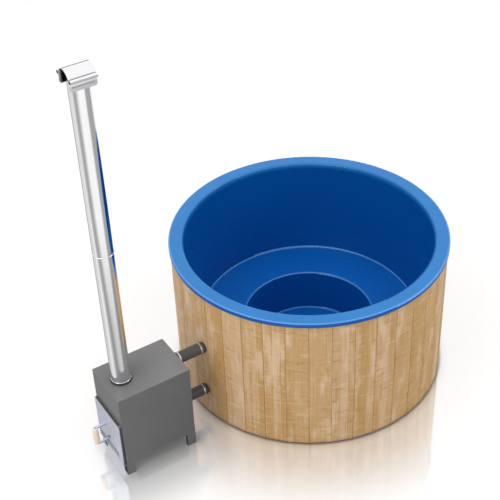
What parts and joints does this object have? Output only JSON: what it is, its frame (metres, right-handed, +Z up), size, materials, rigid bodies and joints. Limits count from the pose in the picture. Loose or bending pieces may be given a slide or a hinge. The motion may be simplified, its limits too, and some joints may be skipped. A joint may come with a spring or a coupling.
{
  "type": "wood-burning hot tub",
  "caption": "Round wood-burning hot tub: moulded liner with bench and footwell in a wooden stave drum, heated by an outside stove with hoses and a tall flue.",
  "frame": {"origin": "on the floor under the tub's axis", "axes": "+X from the heater towards the tub, +Z up"},
  "size_m": [2.588, 1.7996, 2.7317],
  "materials": {
    "liner_blue": "satin moulded",
    "pine_boards": "oiled",
    "plywood": "raw",
    "rough_timber": "sawn",
    "zinc_steel": "zinc plated",
    "pipe_plastic": "extruded",
    "grille_plastic": "moulded",
    "plug_rubber": "moulded",
    "hose_rubber": "smooth",
    "clamp_steel": "bright",
    "heater_paint": "heat-proof matt",
    "boiler_steel": "mill scale",
    "grate_iron": "as cast",
    "flue_steel": "polished",
    "door_steel": "galvanised",
    "handle_steel": "bright",
    "grip_wood": "varnished",
    "seal_rope": "glass rope",
    "knob_plastic": "moulded"
  },
  "bodies": {
    "tub_and_heater": {"ash_pan": "boiler_steel", "base_joists": "rough_timber", "bench_posts": "rough_timber", "cap_beads": "flue_steel", "cap_rivets": "zinc_steel", "chimney_cap": "flue_steel", "chimney_lower": "flue_steel", "chimney_upper": "flue_steel", "cladding_screws": "zinc_steel", "clamp_screws": "zinc_steel", "drain_cup": "pipe_plastic", "drain_pipe": "pipe_plastic", "fire_grate": "grate_iron", "firebox_back_wall": "boiler_steel", "firebox_left_wall": "boiler_steel", "firebox_right_wall": "boiler_steel", "firebox_roof": "boiler_steel", "flue_collar": "heater_paint", "flue_stub": "boiler_steel", "grate_ledges": "boiler_steel", "heater_bottom": "heater_paint", "heater_front": "heater_paint", "heater_left_side": "heater_paint", "heater_rear": "heater_paint", "heater_right_side": "heater_paint", "heater_top": "heater_paint", "hinge_lugs": "heater_paint", "hinge_rod": "zinc_steel", "hose_clamps": "clamp_steel", "leg_front_left": "heater_paint", "leg_front_right": "heater_paint", "leg_rear_left": "heater_paint", "leg_rear_right": "heater_paint", "lower_hoop": "plywood", "lower_hose": "hose_rubber", "lower_spigot": "boiler_steel", "pipe_stave": "pine_boards", "return_grille": "grille_plastic", "return_stub": "pipe_plastic", "suction_grille": "grille_plastic", "suction_stub": "pipe_plastic", "tub_liner": "liner_blue", "upper_hoop": "plywood", "upper_hose": "hose_rubber", "upper_spigot": "boiler_steel", "wall_staves": "pine_boards"},
    "door": {"door_pan": "door_steel", "door_shield": "door_steel", "door_seal": "seal_rope", "slider_guides": "door_steel", "handle_bars": "handle_steel", "handle_grip": "grip_wood", "handle_rod": "zinc_steel", "handle_nuts": "zinc_steel"},
    "air_slider": {"air_slider": "door_steel", "slider_knob": "knob_plastic"},
    "drain_plug": {"drain_plug": "plug_rubber"}
  },
  "joints": [
    {"name": "door_swing", "type": "hinge", "parent": "tub_and_heater", "child": "door", "pos_m": [-1.58725, -0.30475, 0.2545], "axis": [0, 0, 1], "range_deg": [0, 110]},
    {"name": "air_slide", "type": "slide", "parent": "door", "child": "air_slider", "axis": [0, -1, 0], "range_m": [0, 0.01025]},
    {"name": "plug_lift", "type": "slide", "parent": "tub_and_heater", "child": "drain_plug", "axis": [0, 0, 1], "range_m": [0, 0.08]}
  ]
}
